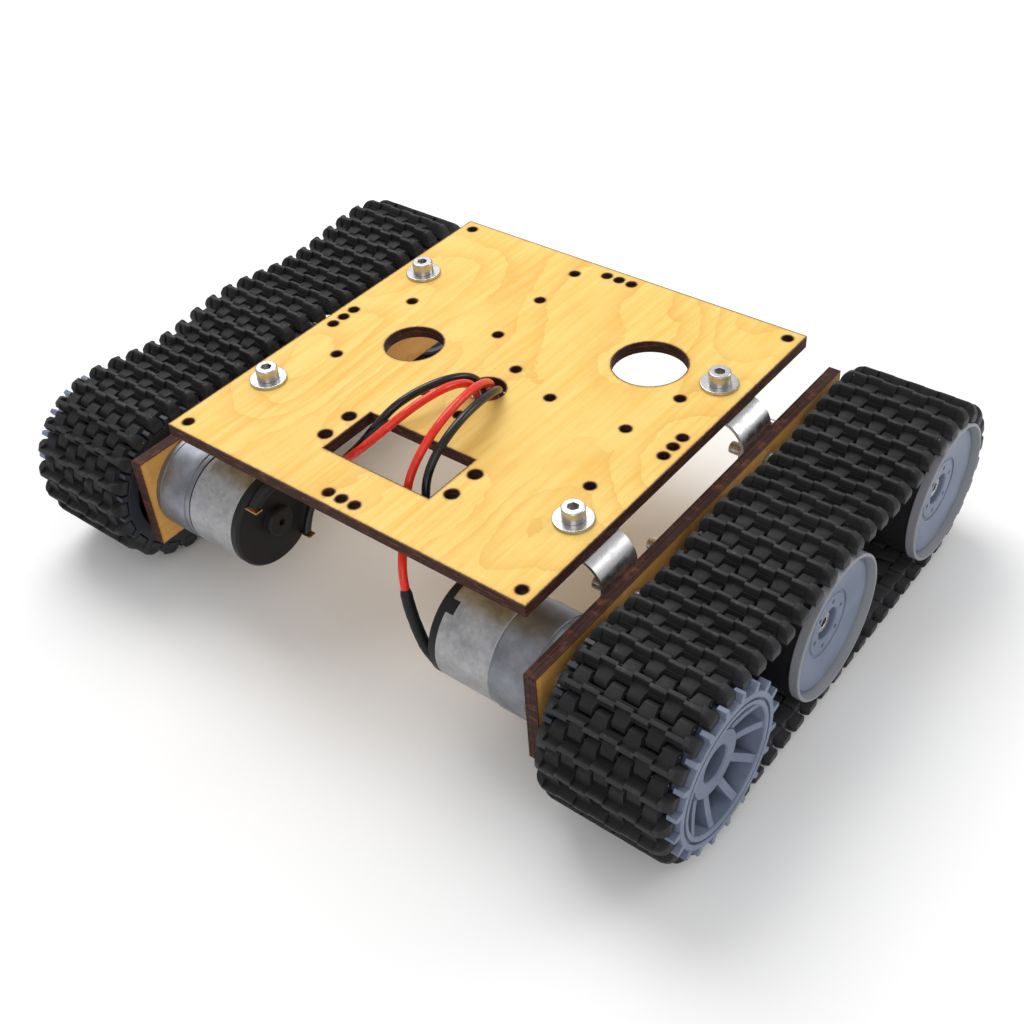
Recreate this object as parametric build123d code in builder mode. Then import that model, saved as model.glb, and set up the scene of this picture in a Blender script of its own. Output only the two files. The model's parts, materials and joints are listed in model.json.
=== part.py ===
"""Tracked tank chassis: a plywood deck and side plates, two gear motors, four road wheels and two
linked tracks.

Frame, in millimetres: X across the chassis, Y along the tracks with the motors at the -Y end, Z up.
The origin is on the ground, midway between the tracks and at the middle of their length.
"""
import os
from math import cos, hypot, pi, radians, sin, tan

from build123d import *

# ---- track chain ----
link_pitch = 7.5123
teeth = 20
link_count = 55
pin_ring_r = link_pitch / (2 * sin(pi / teeth))   # pins of the links that lie round a sprocket
tread_height = 4.8                                # grouser top above the pin line
tread_half_angle = {1: 5.0, -1: 0.5}              # where a pin lies on each sprocket, in degrees

# ---- running gear ----
axle_z = pin_ring_r + tread_height
drive_y, mid_y, rear_y = -65.5, -5.2, 65.5
track_mid_x = 103.3
tooth_tip_r, tooth_root_r = 25.2, 22.5
drum_r = 22.0
axle_bolt_r = 2.0

# ---- deck ----
deck_width, deck_length, deck_t = 138.0, 146.0, 4.0
deck_top_z = 63.3
deck_mid_y = -1.5
deck_under_z = deck_top_z - deck_t
small_hole_r = 1.7
screw_x = 59.5
screw_ys = (34.3, -40.6)
servo_window = (41.0, 20.5)
servo_window_y = -44.2                            # from the deck's middle
servo_holes = (49.4, 10.4)
cable_hole_at, cable_hole_r = (1.5, -4.9), 6.0
deck_plane = Plane((0, deck_mid_y, deck_under_z))

# ---- side plates and brackets ----
plate_in_x, plate_t = 75.0, 4.0
plate_out_x = plate_in_x + plate_t
plate_front_y, plate_rear_y = -84.5, 77.0
plate_low_z, plate_top_z = 17.8, 50.9
bracket_t, bracket_width, bend_r = 1.2, 16.2, 9.0
bracket_tab_x = 51.5
bracket_low_z = 35.3
bracket_ys = {"rear": 32.0, "front": -40.6}
bracket_screw_z = 43.8

# ---- gear motors ----
motor_z = 33.5
motor_r, gearbox_r = 16.2, 16.5
cap_x, can_x, gearbox_x = 38.0, 41.0, 60.0
gearbox_wall = 1.7
can_wall = 1.0
shaft_r, shaft_end_x = 3.0, 98.0
boss_r, boss_end_x = 6.0, 80.3
gearbox_screw_ring_r = 12.5
terminal_at = (9.0, 11.5)                         # across and above the motor axis
terminal_tip_x = 33.4

# ---- fasteners ----
m4_head_r, m4_head_h, m4_key = 3.5, 4.0, 3.0
m4_nut_af, m4_nut_h = 7.0, 3.2
washer_r, washer_t = 6.0, 1.0

# ---- hub coupler and bearings ----
hex_af = 12.0
coupler_in_x, coupler_out_x = 86.0, 105.8
web_in_x, web_out_x = 106.0, 110.0                # wall that the sprocket screw pulls against
bearing_w, race_in_r, race_out_r = 4.0, 2.02, 4.5
ball_ring_r, ball_r, balls = 3.25, 0.78, 7
bearing_xs = (84.6, 111.6)                        # inboard face of each wheel's two bearings

# ---- motor wires ----
wire_r = 1.3
bare_wire_r, bare_length = 0.65, 7.0
sleeve_r = 1.85

SIDES = {"left": -1, "right": 1}
WHEELS = {"mid": mid_y, "rear": rear_y}

os.makedirs("parts", exist_ok=True)


# ---- placing ----
def across(side, y, x, z=axle_z):
    """Plane square to an axle, at x outboard, with its normal outboard."""
    return Plane(origin=(side * x, y, z), x_dir=(0, side, 0), z_dir=(side, 0, 0))


def half_section(side, y, z=axle_z):
    """Plane through an axle: its first axis runs outboard, its second is the radius."""
    return Plane(origin=(0, y, z), x_dir=(side, 0, 0), z_dir=(0, -side, 0))


def spin_axis(y, z=axle_z):
    return Axis((0, y, z), (1, 0, 0))


def copies(piece, planes):
    """One solid on each plane, as a group of separate solids."""
    return Compound([Location(plane) * piece.solid() for plane in planes])


def write(shape, name):
    shape.label = name
    export_step(shape, f"parts/{name}.step", write_pcurves=False)


# ---- fasteners ----
def socket_screw(thread_r, length, head_r=m4_head_r, head_h=m4_head_h, key=m4_key):
    """Socket head screw: its head stands on the XY plane and its shank runs down."""
    with BuildPart() as screw:
        with BuildSketch():
            Circle(head_r)
        extrude(amount=head_h)
        chamfer(screw.faces().sort_by(Axis.Z)[-1].edges(), 0.35)
        with BuildSketch(Plane.XY.offset(head_h)):
            RegularPolygon(key / 2, 6, major_radius=False)
        extrude(amount=-0.6 * head_h, mode=Mode.SUBTRACT)
        with BuildSketch():
            Circle(thread_r)
        extrude(amount=-length)
        chamfer(screw.faces().sort_by(Axis.Z)[0].edges(), 0.3)
    return screw.part


def nut(hole_r, across_flats=m4_nut_af, height=m4_nut_h):
    """Hexagon nut that stands on the XY plane and grows down from it."""
    with BuildPart() as hexagon:
        with BuildSketch():
            RegularPolygon(across_flats / 2, 6, major_radius=False)
            Circle(hole_r, mode=Mode.SUBTRACT)
        extrude(amount=-height)
        chamfer(hexagon.edges().filter_by(GeomType.LINE).filter_by(Axis.Z, reverse=True), 0.25)
    return hexagon.part


deck_screw_planes = [Plane((x, y, deck_top_z + washer_t)) for x in (-screw_x, screw_x) for y in screw_ys]
bracket_screw_planes = [
    across(side, y, plate_out_x, bracket_screw_z) for side in SIDES.values() for y in bracket_ys.values()
]
axle_planes = [across(side, y, 0) for side in SIDES.values() for y in WHEELS.values()]

write(copies(socket_screw(2.0, 14.0), deck_screw_planes), "deck_screws")
write(copies(nut(2.03), [plane.offset(-washer_t - deck_t - bracket_t) for plane in deck_screw_planes]),
      "deck_nuts")
write(copies(socket_screw(2.0, 13.0), bracket_screw_planes), "bracket_screws")
write(copies(nut(2.03), [plane.offset(-plate_t - bracket_t) for plane in bracket_screw_planes]),
      "bracket_nuts")

with BuildPart() as washer:
    with BuildSketch():
        Circle(washer_r)
        Circle(2.15, mode=Mode.SUBTRACT)
    extrude(amount=-washer_t)
    chamfer(washer.faces().sort_by(Axis.Z)[-1].edges().sort_by(SortBy.RADIUS)[-1], 0.2)
write(copies(washer.part, deck_screw_planes), "deck_washers")


# ---- deck ----
with BuildPart() as deck_plate:
    with BuildSketch(deck_plane):
        RectangleRounded(deck_width, deck_length, 0.6)
        with Locations((0, servo_window_y)):
            Rectangle(*servo_window, mode=Mode.SUBTRACT)
            with GridLocations(*servo_holes, 2, 2):
                Circle(2.1, mode=Mode.SUBTRACT)
        with Locations((35.8, 33.5)):
            Circle(12.0, mode=Mode.SUBTRACT)
        with Locations((-33.8, 1.4)):
            Circle(9.6, mode=Mode.SUBTRACT)
        with Locations(cable_hole_at):
            Circle(cable_hole_r, mode=Mode.SUBTRACT)
        # corner holes, the motor driver's square and three-hole rows in the middle of each edge
        with GridLocations(128.8, 137.0, 2, 2):
            Circle(small_hole_r, mode=Mode.SUBTRACT)
        with Locations((-32.6, 1.7)):
            with GridLocations(37.0, 37.0, 2, 2):
                Circle(small_hole_r, mode=Mode.SUBTRACT)
        with GridLocations(5.0, 137.0, 3, 2):
            Circle(small_hole_r, mode=Mode.SUBTRACT)
        for x, y in ((-64.4, 0.5), (64.4, 2.7)):
            with Locations((x, y)):
                with GridLocations(5.0, 5.0, 1, 3):
                    Circle(small_hole_r, mode=Mode.SUBTRACT)
        # microcontroller board pattern, its connector edge towards +X
        with Locations((54.8, -24.9), (53.5, 23.3), (2.7, -19.9), (2.7, 8.1)):
            Circle(small_hole_r, mode=Mode.SUBTRACT)
        with Locations((-15.1, 63.7), (-15.1, 44.0), (20.5, 2.1), (48.3, 2.1)):
            Circle(small_hole_r, mode=Mode.SUBTRACT)
        with Locations(*[(x, y - deck_mid_y) for x in (-screw_x, screw_x) for y in screw_ys]):
            Circle(2.2, mode=Mode.SUBTRACT)
    extrude(amount=deck_t)
write(deck_plate.part, "deck_plate")


# ---- side plates and their brackets ----
def side_plate(side):
    """Upright plywood plate with holes for one motor, two wheel axles and two brackets."""
    with BuildPart() as plate:
        with BuildSketch(across(side, 0, plate_in_x, 0)):
            with Locations((side * (plate_front_y + plate_rear_y) / 2, (plate_low_z + plate_top_z) / 2)):
                RectangleRounded(plate_rear_y - plate_front_y, plate_top_z - plate_low_z, 0.6)
            with Locations((side * drive_y, axle_z)):
                Circle(boss_r + 0.15, mode=Mode.SUBTRACT)
            with Locations((side * drive_y, motor_z)):
                with PolarLocations(gearbox_screw_ring_r, 4, 45):
                    Circle(1.6, mode=Mode.SUBTRACT)
            with Locations((side * mid_y, axle_z), (side * rear_y, axle_z)):
                Circle(2.1, mode=Mode.SUBTRACT)
            with Locations(*[(side * y, bracket_screw_z) for y in bracket_ys.values()]):
                Circle(2.1, mode=Mode.SUBTRACT)
        extrude(amount=plate_t)
    return plate.part


def bracket(side, y, screw_y):
    """Bent sheet angle: a tab under the deck, one bend, and a flange on the plate's inner face."""
    with BuildPart() as angle:
        with BuildSketch(half_section(side, y, 0)):
            with BuildLine():
                FilletPolyline(
                    (bracket_tab_x, deck_under_z), (plate_in_x, deck_under_z), (plate_in_x, bracket_low_z),
                    radius=bend_r,
                )
                offset(amount=bracket_t, side=Side.RIGHT)
            make_face()
        extrude(amount=bracket_width / 2, both=True)
        with Locations(Plane((side * screw_x, screw_y, deck_under_z))):
            Hole(2.2)
        with Locations(across(side, y, plate_in_x, bracket_screw_z)):
            Hole(2.1)
    return angle.part


for side_name, side in SIDES.items():
    write(side_plate(side), f"side_plate_{side_name}")
    for (end, y), screw_y in zip(bracket_ys.items(), screw_ys):
        write(bracket(side, y, screw_y), f"bracket_{end}_{side_name}")


# ---- gear motors ----
def gearbox(side):
    """Hollow gearbox case, with its output boss below the motor's own axis."""
    with BuildPart() as case:
        with BuildSketch(half_section(side, drive_y, motor_z)):
            with BuildLine():
                Polyline(
                    (gearbox_x, 2.0), (gearbox_x, gearbox_r - 0.3), (62.0, gearbox_r - 0.3),
                    (62.0, gearbox_r), (72.6, gearbox_r), (72.6, gearbox_r - 0.3), (73.0, gearbox_r - 0.3),
                    (73.0, gearbox_r), (plate_in_x, gearbox_r), (plate_in_x, 0), (73.0, 0),
                    (73.0, gearbox_r - gearbox_wall), (61.5, gearbox_r - gearbox_wall), (61.5, 2.0),
                    close=True,
                )
            make_face()
        revolve(axis=spin_axis(drive_y, motor_z))
        with BuildSketch(across(side, drive_y, 73.0)):
            Circle(boss_r)
        extrude(amount=boss_end_x - 73.0)
        with BuildSketch(across(side, drive_y, 72.0)):
            Circle(shaft_r + 0.03)
        extrude(amount=boss_end_x, mode=Mode.SUBTRACT)
        with BuildSketch(across(side, drive_y, 72.0, motor_z)):
            with PolarLocations(gearbox_screw_ring_r, 4, 45):
                Circle(1.53)
        extrude(amount=4.0, mode=Mode.SUBTRACT)
    return case.part


def motor_can(side):
    """Drawn steel can, closed at the gearbox, with a notch for each tab of the end cap."""
    with BuildPart() as can:
        with BuildSketch(half_section(side, drive_y, motor_z)):
            with BuildLine():
                Polyline(
                    (can_x, motor_r - can_wall), (can_x, motor_r), (gearbox_x - 0.6, motor_r),
                    (gearbox_x, motor_r - 0.6), (gearbox_x, 3.0), (gearbox_x - can_wall, 3.0),
                    (gearbox_x - can_wall, motor_r - can_wall), close=True,
                )
            make_face()
        revolve(axis=spin_axis(drive_y, motor_z))
        with BuildSketch(across(side, drive_y, can_x - 0.5, motor_z)):
            with PolarLocations(motor_r, 2, 120):
                Rectangle(6, 4.2)
        extrude(amount=3.1, mode=Mode.SUBTRACT)
    return can.part


def motor_end_cap(side):
    """Moulded cap with a bearing boss, two tabs in the can's notches and a plug inside the can."""
    with BuildPart() as cap:
        with BuildSketch(half_section(side, drive_y, motor_z)):
            with BuildLine():
                Polyline(
                    (cap_x - 2.6, 1.1), (cap_x - 2.6, 4.4), (cap_x - 2.2, 4.8), (cap_x, 5.2),
                    (cap_x, motor_r - 0.8), (cap_x + 0.8, motor_r), (can_x, motor_r),
                    (can_x, motor_r - can_wall - 0.05), (can_x + 2.0, motor_r - can_wall - 0.05),
                    (can_x + 2.0, 1.1), close=True,
                )
            make_face()
        revolve(axis=spin_axis(drive_y, motor_z))
        with BuildSketch(across(side, drive_y, can_x - 0.2, motor_z)) as tabs:
            with PolarLocations(motor_r - 1.2, 2, 120):
                Rectangle(4, 4.0)
            Circle(motor_r, mode=Mode.INTERSECT)
        extrude(amount=2.7)
        with BuildSketch(across(side, drive_y, cap_x, motor_z)):
            with Locations(terminal_at, (-terminal_at[0], -terminal_at[1])):
                Rectangle(3.0, 0.7)
        extrude(amount=1.5, mode=Mode.SUBTRACT)
    return cap.part


def terminals(side):
    """Two brass solder tabs that stand out of one end cap."""
    with BuildPart() as tabs:
        with BuildSketch(across(side, drive_y, cap_x + 1.5, motor_z)):
            with Locations(terminal_at, (-terminal_at[0], -terminal_at[1])):
                Rectangle(2.8, 0.5)
        extrude(amount=terminal_tip_x - cap_x - 1.5)
    return tabs.part


def output_shaft(side):
    """Steel shaft with a flat for the coupler's set screw."""
    with BuildPart() as shaft:
        with BuildSketch(across(side, drive_y, 66.0)):
            Circle(shaft_r)
        extrude(amount=shaft_end_x - 66.0)
        chamfer(shaft.faces().sort_by(Axis.X)[-1 if side > 0 else 0].edges(), 0.4)
        with BuildSketch(across(side, drive_y, 84.0)):
            with Locations((0, shaft_r)):
                Rectangle(2 * shaft_r, 1.0)
        extrude(amount=shaft_end_x, mode=Mode.SUBTRACT)
    return shaft.part


def hub_coupler(side):
    """Brass hexagon: bored for the shaft at one end and threaded for the sprocket screw at the other."""
    with BuildPart() as coupler:
        with BuildSketch(across(side, drive_y, coupler_in_x)):
            RegularPolygon(hex_af / 2, 6, major_radius=False, rotation=30)
        extrude(amount=coupler_out_x - coupler_in_x)
        with BuildSketch(across(side, drive_y, coupler_in_x)):
            Circle(shaft_r + 0.02)
        extrude(amount=shaft_end_x + 0.3 - coupler_in_x, mode=Mode.SUBTRACT)
        with BuildSketch(across(side, drive_y, coupler_out_x)):
            Circle(2.02)
        extrude(amount=shaft_end_x - coupler_out_x, mode=Mode.SUBTRACT)
        with BuildSketch(Plane((side * 90.0, drive_y, axle_z))):
            Circle(1.52)
        extrude(amount=hex_af, mode=Mode.SUBTRACT)
    return coupler.part


with BuildPart() as grub_screw:
    with BuildSketch():
        Circle(1.5)
    extrude(amount=3.3)
    with BuildSketch(Plane.XY.offset(3.3)):
        RegularPolygon(0.75, 6, major_radius=False)
    extrude(amount=-1.5, mode=Mode.SUBTRACT)


# ---- sprockets ----
def sprocket(side):
    """Drum with a toothed rim at each end and ten spokes that fall away towards a recessed hub."""
    rim_xs = (82.6, 122.2)
    rim_w, shell_r, window_r, hub_r = 3.0, 21.5, 18.5, 10.5
    hub_face_x, rim_face_x, disc_x = 121.4, 125.2, 102.0
    pin_angle = tread_half_angle[side] if side > 0 else 180 - tread_half_angle[side]
    with BuildPart() as wheel:
        with BuildSketch(half_section(side, drive_y)):
            with BuildLine():
                Polyline(
                    (rim_xs[0], window_r), (rim_xs[0], shell_r), (rim_face_x, shell_r),
                    (rim_face_x, 20.8), (rim_face_x - 0.9, 20.8), (rim_face_x - 0.9, 20.0),
                    (rim_face_x, 20.0), (rim_face_x, window_r + 0.4), (rim_face_x - 0.4, window_r),
                    (disc_x + 3, window_r), (disc_x + 3, hub_r), (hub_face_x - 0.5, hub_r),
                    (hub_face_x, hub_r - 0.5), (hub_face_x, 5.9), (hub_face_x - 0.5, 5.4),
                    (web_out_x, 5.4), (web_out_x, 2.2), (web_in_x, 2.2), (web_in_x, 5.0), (97.0, 5.0),
                    (97.0, hub_r), (disc_x, hub_r), (disc_x, window_r), close=True,
                )
            make_face()
        revolve(axis=spin_axis(drive_y))
        with BuildSketch(across(side, drive_y, 97.0)):
            RegularPolygon(hex_af / 2 + 0.02, 6, major_radius=False, rotation=30)
        extrude(amount=web_in_x - 97.0, mode=Mode.SUBTRACT)
        # spokes, cut back along a curve from the rim to the hub
        with BuildSketch(across(side, drive_y, disc_x + 1)):
            with PolarLocations((window_r + hub_r) / 2, 10):
                Rectangle(window_r - hub_r + 0.4, 2.6)
        extrude(amount=rim_face_x - 0.6 - disc_x - 1)
        with BuildSketch(half_section(side, drive_y)):
            with BuildLine():
                fall = ThreePointArc(
                    (hub_face_x - 0.6, hub_r - 0.3), (122.2, 14.2), (rim_face_x - 0.8, window_r)
                )
                Polyline(fall @ 1, (rim_face_x + 1, window_r), (rim_face_x + 1, hub_r - 0.3), fall @ 0)
            make_face()
        revolve(axis=spin_axis(drive_y), mode=Mode.SUBTRACT)
        for rim_x in rim_xs:
            with BuildSketch(across(side, drive_y, rim_x)):
                Circle(tooth_root_r)
                with PolarLocations(0, teeth, pin_angle):
                    Polygon(
                        (tooth_root_r - 0.7, -1.1), (23.3, -1.05), (tooth_tip_r, -0.7),
                        (tooth_tip_r, 0.7), (23.3, 1.05), (tooth_root_r - 0.7, 1.1), align=None,
                    )
                Circle(window_r + 1, mode=Mode.SUBTRACT)
            extrude(amount=rim_w)
        with BuildSketch(across(side, drive_y, rim_face_x)):
            Circle(20.8)
            Circle(20.0, mode=Mode.SUBTRACT)
        extrude(amount=-0.9, mode=Mode.SUBTRACT)
    return wheel.part


# ---- road wheels ----
def road_wheel(side, y):
    """Hollow drum between two guide flanges, closed outboard by a dished disc."""
    seat_r, bore_r, hub_r = race_out_r + 0.01, 3.6, 9.3
    inner_x, outer_x = bearing_xs
    with BuildPart() as wheel:
        with BuildSketch(half_section(side, y)):
            with BuildLine():
                dish = ThreePointArc((122.0, 20.1), (121.7, 15.0), (120.9, 10.6))
                Polyline(
                    dish @ 1, (120.4, 10.5), (120.4, 9.8), (120.8, 9.6), (120.8, 5.4), (120.4, 5.0),
                    (outer_x + bearing_w, 5.0), (outer_x + bearing_w, seat_r), (outer_x, seat_r),
                    (outer_x, bore_r), (inner_x + bearing_w, bore_r), (inner_x + bearing_w, seat_r),
                    (inner_x - 0.4, seat_r), (inner_x - 0.4, hub_r - 2), (118.6, hub_r), (118.6, 20.2),
                    (82.6, 20.4), (82.6, 22.8), (85.6, 22.8), (85.6, drum_r), (121.1, drum_r),
                    (121.1, 22.8), (123.9, 22.8), (124.2, 22.5), (124.2, 21.9), (122.0, 21.3),
                    (121.1, 21.2), (121.1, 20.3), dish @ 0,
                )
            make_face()
        revolve(axis=spin_axis(y))
        with BuildSketch(across(side, y, 120.8)):
            with PolarLocations(7.4, 6, 15):
                Circle(0.7)
        extrude(amount=-2.0, mode=Mode.SUBTRACT)
    return wheel.part


def race(side, y, x, inner_r, outer_r):
    """One ring of a ball bearing, with the groove that its balls run in."""
    with BuildPart() as ring:
        with BuildSketch(across(side, y, x)):
            Circle(outer_r)
            Circle(inner_r, mode=Mode.SUBTRACT)
        extrude(amount=bearing_w)
        with Locations(across(side, y, x + bearing_w / 2)):
            Torus(ball_ring_r, ball_r + 0.05, mode=Mode.SUBTRACT)
    return ring.solid()


def ball_set(side, y, x):
    with BuildPart() as ring:
        with Locations(across(side, y, x + bearing_w / 2)):
            with PolarLocations(ball_ring_r, balls):
                Sphere(ball_r)
    return ring.solids()


inner_races = []
for side_name, side in SIDES.items():
    write(gearbox(side), f"gearbox_{side_name}")
    write(motor_can(side), f"motor_can_{side_name}")
    write(motor_end_cap(side), f"motor_end_cap_{side_name}")
    write(terminals(side), f"motor_terminals_{side_name}")
    write(output_shaft(side), f"output_shaft_{side_name}")
    write(hub_coupler(side), f"hub_coupler_{side_name}")
    write(copies(grub_screw.part, [Plane((side * 90.0, drive_y, axle_z + shaft_r - 0.4))]),
          f"coupler_grub_screw_{side_name}")
    write(sprocket(side), f"sprocket_{side_name}")
    write(copies(socket_screw(2.0, 10.0), [across(side, drive_y, web_out_x)]),
          f"sprocket_screw_{side_name}")
    for wheel_name, y in WHEELS.items():
        name = f"{wheel_name}_{side_name}"
        write(road_wheel(side, y), f"road_wheel_{name}")
        outer_races = [race(side, y, x, 3.75, race_out_r) for x in bearing_xs]
        write(Compound(outer_races), f"bearing_outer_races_{name}")
        bearing_balls = [ball for x in bearing_xs for ball in ball_set(side, y, x)]
        write(Compound(bearing_balls), f"bearing_balls_{name}")
        inner_races += [race(side, y, x, race_in_r, 2.75) for x in bearing_xs]
write(Compound(inner_races), "bearing_inner_races")

gearbox_screw_planes = [
    Location(across(side, drive_y, plate_out_x, motor_z)) * Location((
        gearbox_screw_ring_r * cos(radians(angle)), gearbox_screw_ring_r * sin(radians(angle)), 0))
    for side in SIDES.values() for angle in (45, 135, 225, 315)
]
write(Compound([place * socket_screw(1.5, 6.0, 2.75, 2.0, 2.0).solid() for place in gearbox_screw_planes]),
      "gearbox_screws")

# ---- road wheel axles ----
bolt_head_x = bearing_xs[1] + bearing_w
write(copies(socket_screw(axle_bolt_r, 55.0), [plane.offset(bolt_head_x) for plane in axle_planes]),
      "wheel_axle_bolts")
write(copies(nut(2.03), [plane.offset(plate_in_x) for plane in axle_planes]), "wheel_axle_nuts")


def spacer(outer_r, length):
    with BuildPart() as tube:
        with BuildSketch():
            Circle(outer_r)
            Circle(race_in_r, mode=Mode.SUBTRACT)
        extrude(amount=length)
    return tube.part


between_bearings = spacer(2.7, bearing_xs[1] - bearing_xs[0] - bearing_w)
beside_plate = spacer(3.5, bearing_xs[0] - plate_out_x)
write(Compound([
    *copies(between_bearings, [plane.offset(bearing_xs[0] + bearing_w) for plane in axle_planes]).solids(),
    *copies(beside_plate, [plane.offset(plate_out_x) for plane in axle_planes]).solids(),
]), "wheel_spacers")


# ---- tracks ----
strip_w, strip_gap = 5.0, 0.3
body_half = 3.5 * strip_w
lug_length = 2.9
pin_r, pin_hole_r, pin_length = 0.6, 0.65, 34.6
knuckle_r = 1.55
web_low, web_top = -1.5, 2.4

with BuildPart() as track_link:
    # web: a spine with fingers that reach alternately to the front and the rear pin
    with BuildSketch(Plane.XY.offset(web_low)):
        Rectangle(2 * body_half, 3.5)
        with GridLocations(2 * strip_w, 0, 4, 1):
            with Locations((0, link_pitch / 4)):
                Rectangle(strip_w - strip_gap, link_pitch / 2)
        with GridLocations(2 * strip_w, 0, 3, 1):
            with Locations((0, -link_pitch / 4)):
                Rectangle(strip_w - strip_gap, link_pitch / 2)
    extrude(amount=web_top - web_low)
    for reach, count in ((link_pitch / 2, 4), (-link_pitch / 2, 3)):
        with GridLocations(2 * strip_w, 0, count, 1):
            with Locations((0, reach, 0)):
                Cylinder(knuckle_r, strip_w - strip_gap, rotation=(0, 90, 0))
    # grouser: a thin tapered bar in dashes that step to and fro
    for dash in range(7):
        step = 0.4 if dash % 2 else -0.4
        with BuildSketch(Plane.YZ.offset((dash - 3.5) * strip_w)):
            with BuildLine():
                Polyline(
                    (step - 1.1, web_top - 0.2), (step - 0.6, tread_height), (step + 0.6, tread_height),
                    (step + 1.1, web_top - 0.2), close=True,
                )
            make_face()
        extrude(amount=strip_w)
    # guide lugs at both ends, with round shoulders
    for end in (-1, 1):
        with BuildSketch(Plane.YZ.offset(end * body_half)):
            with BuildLine():
                Polyline(
                    (-2.1, -0.7), (2.1, -0.7), (2.2, 1.8), (1.1, tread_height - 0.2),
                    (-1.1, tread_height - 0.2), (-2.2, 1.8), close=True,
                )
            make_face()
        extrude(amount=end * lug_length)
    with BuildSketch(Plane.XZ):
        with BuildLine():
            shoulder = CenterArc((body_half - 0.6, 1.3), lug_length + 0.6, 0, 90)
            Polyline(
                shoulder @ 1, (body_half - 0.6, 6), (body_half + 6, 6), (body_half + 6, 1.3), shoulder @ 0
            )
        make_face()
        mirror(about=Plane.YZ)
    extrude(amount=4, both=True, mode=Mode.SUBTRACT)
    with Locations((0, link_pitch / 2, 0), (0, -link_pitch / 2, 0)):
        Cylinder(pin_hole_r, 2 * body_half + 0.4, rotation=(0, 90, 0), mode=Mode.SUBTRACT)

with BuildPart() as track_pin:
    Cylinder(pin_r, pin_length, rotation=(0, 90, 0))


run = rear_y - drive_y
half_turn = pi * pin_ring_r
loop_length = 2 * run + 2 * half_turn


def pin_line(s, sag):
    """Point (y, z) of the pin line: top run, rear wheel, bottom run, then round the sprocket."""
    s %= loop_length
    if s < run:
        y = drive_y + s
        start, end = (drive_y, mid_y) if y < mid_y else (mid_y, rear_y)
        dip = sag / 2 * (1 - cos(2 * pi * (y - start) / (end - start)))
        return y, axle_z + pin_ring_r - dip
    if s < run + half_turn:
        turn = (s - run) / pin_ring_r
        return rear_y + pin_ring_r * sin(turn), axle_z + pin_ring_r * cos(turn)
    if s < 2 * run + half_turn:
        return rear_y - (s - run - half_turn), axle_z - pin_ring_r
    turn = (s - 2 * run - half_turn) / pin_ring_r
    return drive_y - pin_ring_r * sin(turn), axle_z - pin_ring_r * cos(turn)


def march(first_angle, sag):
    """Pins one link pitch apart along the pin line, from the first one past the sprocket's top."""
    s = -pin_ring_r * radians(first_angle)
    places = [s]
    for _ in range(link_count):
        here = pin_line(s, sag)
        ahead = s + link_pitch
        for _ in range(8):
            there = pin_line(ahead, sag)
            ahead += link_pitch - hypot(there[0] - here[0], there[1] - here[1])
        s = ahead
        places.append(s)
    return places


def track_pins(first_angle):
    """Pin positions of a closed track: the top run sags by the length left over."""
    low, high = 0.0, 10.0
    for _ in range(40):
        sag = (low + high) / 2
        places = march(first_angle, sag)
        if places[-1] - places[0] > loop_length:
            low = sag
        else:
            high = sag
    return [pin_line(s, sag) for s in places[:-1]], sag


for side_name, side in SIDES.items():
    pins, sag = track_pins(tread_half_angle[side])
    print(f"{side_name} track sags {sag:.2f}")
    pin_planes, link_planes = [], []
    for here, there in zip(pins, pins[1:] + pins[:1]):
        along = (0, there[0] - here[0], there[1] - here[1])
        outward = (0, -along[2], along[1])
        middle = (side * track_mid_x, (here[0] + there[0]) / 2, (here[1] + there[1]) / 2)
        link_planes.append(Plane(middle, x_dir=(1, 0, 0), z_dir=outward))
        pin_planes.append(Plane((side * track_mid_x, *here)))
    write(copies(track_link.part, link_planes), f"track_links_{side_name}")
    write(copies(track_pin.part, pin_planes), f"track_pins_{side_name}")


# ---- motor wires: each route runs from the cable hole, through the servo window, to its terminal ----
wire_routes = {
    "red_right": [
        (2.4, -5.4, 52.0), (2.6, -5.4, 62.4), (4.8, -8.4, 68.6), (7.2, -16.6, 73.2), (9.0, -26.4, 74.8),
        (10.0, -36.8, 73.8), (9.4, -44.8, 69.0), (8.0, -50.2, 61.6), (9.6, -55.2, 54.6),
        (15.4, -62.6, 53.0), (21.4, -69.6, 54.2), (24.6, -74.0, 50.4), (27.6, -76.2, 42.2),
        (30.4, -76.6, 33.4), (32.9, -76.2, 26.2), (34.9, -74.8, 22.3),
    ],
    "black_right": [
        (5.4, -4.6, 53.0), (5.4, -5.0, 63.0), (8.6, -9.4, 67.8), (11.2, -18.4, 71.4), (12.8, -27.8, 72.8),
        (13.6, -37.2, 71.6), (13.2, -44.8, 67.0), (12.8, -49.2, 60.0), (16.4, -53.4, 53.0),
        (24.0, -56.6, 49.8), (31.0, -57.4, 50.0), (35.8, -56.6, 45.4),
    ],
    "red_left": [
        (-0.8, -7.8, 52.6), (-0.6, -8.2, 61.0), (0.3, -12.0, 68.6), (0.5, -20.5, 73.0),
        (-0.6, -29.5, 73.9), (-3.0, -38.0, 72.0), (-6.8, -45.4, 67.6), (-12.0, -49.2, 62.0),
        (-18.5, -49.0, 55.5), (-25.5, -53.5, 50.8), (-31.0, -61.5, 50.6), (-34.6, -69.5, 51.2),
        (-35.8, -74.2, 45.4),
    ],
    "black_left": [
        (-1.2, -3.4, 53.2), (-1.4, -4.0, 61.0), (-2.6, -8.0, 67.6), (-4.4, -16.4, 71.0),
        (-7.6, -25.4, 71.2), (-11.0, -33.6, 69.0), (-14.4, -39.4, 63.6), (-19.4, -41.2, 56.4),
        (-26.2, -41.0, 48.6), (-32.2, -44.0, 41.6), (-35.2, -49.6, 35.0), (-35.9, -54.8, 28.6),
        (-35.9, -56.5, 22.4),
    ],
}
sleeve_starts = {"red_right": 11, "red_left": 9}  # each sleeve starts midway after this point


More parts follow.
